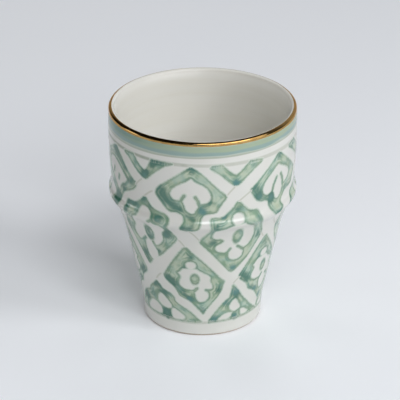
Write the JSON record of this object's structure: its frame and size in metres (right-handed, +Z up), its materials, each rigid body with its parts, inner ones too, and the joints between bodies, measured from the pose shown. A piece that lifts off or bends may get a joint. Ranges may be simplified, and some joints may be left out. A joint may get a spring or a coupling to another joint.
{
  "type": "tea cup",
  "caption": "Handleless glazed ceramic tea cup with a tapered foot, a rounded belt, a straight neck, a gold lip and a painted green trellis of flowers and palmettes.",
  "frame": {"origin": "centre of the foot ring, on the plane that the cup stands on", "axes": "+Z up along the axis of the cup, -Y towards the viewer of the picture"},
  "size_m": [0.082, 0.082, 0.1],
  "materials": {
    "clay": "bare fired clay, matt",
    "white_glaze": "glossy tin-white glaze",
    "gold": "polished gold lustre",
    "teal_paint": "brushed band under gloss",
    "pale_paint": "thin wash under gloss",
    "green_paint": "brushed green wash under gloss"
  },
  "bodies": {
    "root": {"clay_body": "clay", "inner_glaze": "white_glaze", "outer_glaze": "white_glaze", "base_glaze": "white_glaze", "gold_rim": "gold", "rim_band": "teal_paint", "neck_line": "pale_paint", "top_triangles": "green_paint", "palmette_panels": "green_paint", "belt_flower_panels": "green_paint", "lower_flower_panels": "green_paint", "foot_panels": "green_paint", "foot_line": "pale_paint"}
  },
  "joints": []
}
